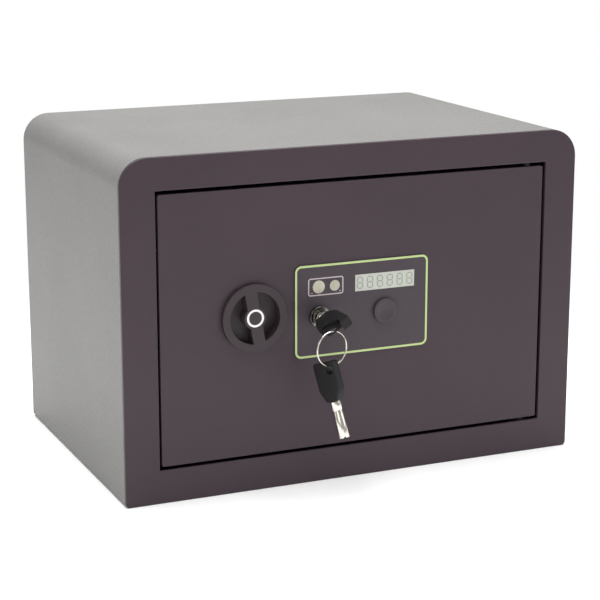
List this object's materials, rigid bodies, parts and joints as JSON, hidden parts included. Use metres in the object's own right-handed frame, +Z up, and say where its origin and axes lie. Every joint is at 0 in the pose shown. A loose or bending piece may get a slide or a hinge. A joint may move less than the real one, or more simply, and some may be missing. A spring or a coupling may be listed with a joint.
{
  "type": "in-room safe",
  "caption": "Small steel room safe with a hinged door, turn knob driving two locking bolts, control panel with display, and an override lock with keys.",
  "frame": {"origin": "centre of the cabinet's underside", "axes": "+Z up, -Y out of the door's face, +X to the right seen from the front"},
  "size_m": [0.35, 0.2815, 0.242],
  "materials": {
    "cabinet_paint": "satin textured powder coat",
    "steel": "zinc plated",
    "chrome": "polished",
    "carpet": "short pile",
    "bushing_plastic": "matte",
    "panel_plastic": "satin",
    "knob_plastic": "satin",
    "trim_green": "satin",
    "print_white": "printed",
    "contact_metal": "nickel",
    "display": "clear window over a grey-green display",
    "board": "solder mask",
    "black_plastic": "fine grain",
    "cell_wrap": "printed wrap",
    "coil_frame": "yellow passivated",
    "button_red": "moulded"
  },
  "bodies": {
    "cabinet": {"body_shell": "cabinet_paint", "back_panel": "cabinet_paint", "front_frame": "cabinet_paint", "hinge_brackets": "cabinet_paint", "hinge_pins": "steel", "floor_mat": "carpet"},
    "door": {"door_plate": "cabinet_paint", "hinge_blocks": "cabinet_paint", "door_tray": "cabinet_paint", "inner_cover": "cabinet_paint", "cover_screws": "steel", "bolt_guides": "steel", "knob_bushing": "bushing_plastic", "control_panel": "panel_plastic", "panel_trim": "trim_green", "contact_outline": "print_white", "contact_large": "contact_metal", "contact_small": "contact_metal", "lcd_window": "display", "circuit_board": "board", "battery_case": "black_plastic", "battery_cells": "cell_wrap", "lock_body": "chrome", "lock_nut": "steel", "solenoid": "coil_frame"},
    "battery_lid": {"battery_lid": "black_plastic"},
    "reset_button": {"reset_button": "button_red"},
    "selector_dial": {"selector_dial": "panel_plastic"},
    "knob": {"knob": "knob_plastic", "knob_ring": "print_white", "knob_spindle": "steel", "crank": "steel"},
    "bolts": {"bolt_carriage": "steel", "locking_bolts": "steel"},
    "plunger": {"plunger": "steel", "plunger_spring": "steel"},
    "lock_plug": {"lock_plug": "chrome", "lock_cam": "steel"},
    "key": {"key_barrel": "chrome", "key_head": "black_plastic"},
    "key_ring": {"key_ring": "steel"},
    "spare_key": {"spare_key_barrel": "chrome", "spare_key_head": "black_plastic"}
  },
  "joints": [
    {"name": "door_swing", "type": "hinge", "parent": "cabinet", "child": "door", "pos_m": [0.1379, -0.1105, 0.12], "axis": [0, 0, 1], "range_deg": [0, 105]},
    {"name": "knob_turn", "type": "hinge", "parent": "door", "child": "knob", "pos_m": [-0.08, -0.1175, 0.126], "axis": [0, 1, 0], "range_deg": [0, 80]},
    {"name": "bolt_throw", "type": "slide", "parent": "door", "child": "bolts", "axis": [-1, 0, 0], "range_m": [0, 0.018]},
    {"name": "plunger_pull", "type": "slide", "parent": "door", "child": "plunger", "axis": [0, 0, 1], "range_m": [0, 0.005], "stiffness_N_per_m": 100, "springref_m": -0.004, "deforming": ["plunger_spring"]},
    {"name": "dial_turn", "type": "hinge", "parent": "door", "child": "selector_dial", "pos_m": [0.0202, -0.1175, 0.1212], "axis": [0, 1, 0], "continuous": true},
    {"name": "battery_lid_slide", "type": "slide", "parent": "door", "child": "battery_lid", "axis": [0, 0, -1], "range_m": [0, 0.03]},
    {"name": "reset_press", "type": "slide", "parent": "door", "child": "reset_button", "axis": [0, -1, 0], "range_m": [0, 0.0015], "stiffness_N_per_m": 300, "springref_m": -0.001},
    {"name": "lock_turn", "type": "hinge", "parent": "door", "child": "lock_plug", "pos_m": [-0.031, -0.1175, 0.122], "axis": [0, 1, 0], "range_deg": [0, 90]},
    {"name": "key_pull", "type": "slide", "parent": "lock_plug", "child": "key", "axis": [0, -1, 0], "range_m": [0, 0.03]},
    {"name": "ring_swing", "type": "hinge", "parent": "key", "child": "key_ring", "pos_m": [-0.03519, -0.1495, 0.11928], "axis": [0.9781, 0.2079, 0], "range_deg": [-12, 12]},
    {"name": "spare_key_swing", "type": "hinge", "parent": "key_ring", "child": "spare_key", "pos_m": [-0.03519, -0.1495, 0.09258], "axis": [0.9135, 0.4067, 0], "range_deg": [-15, 15]}
  ],
  "couplings": [
    {"joint": "knob_turn", "follows": "bolt_throw", "rad_per_m": 77.57}
  ]
}
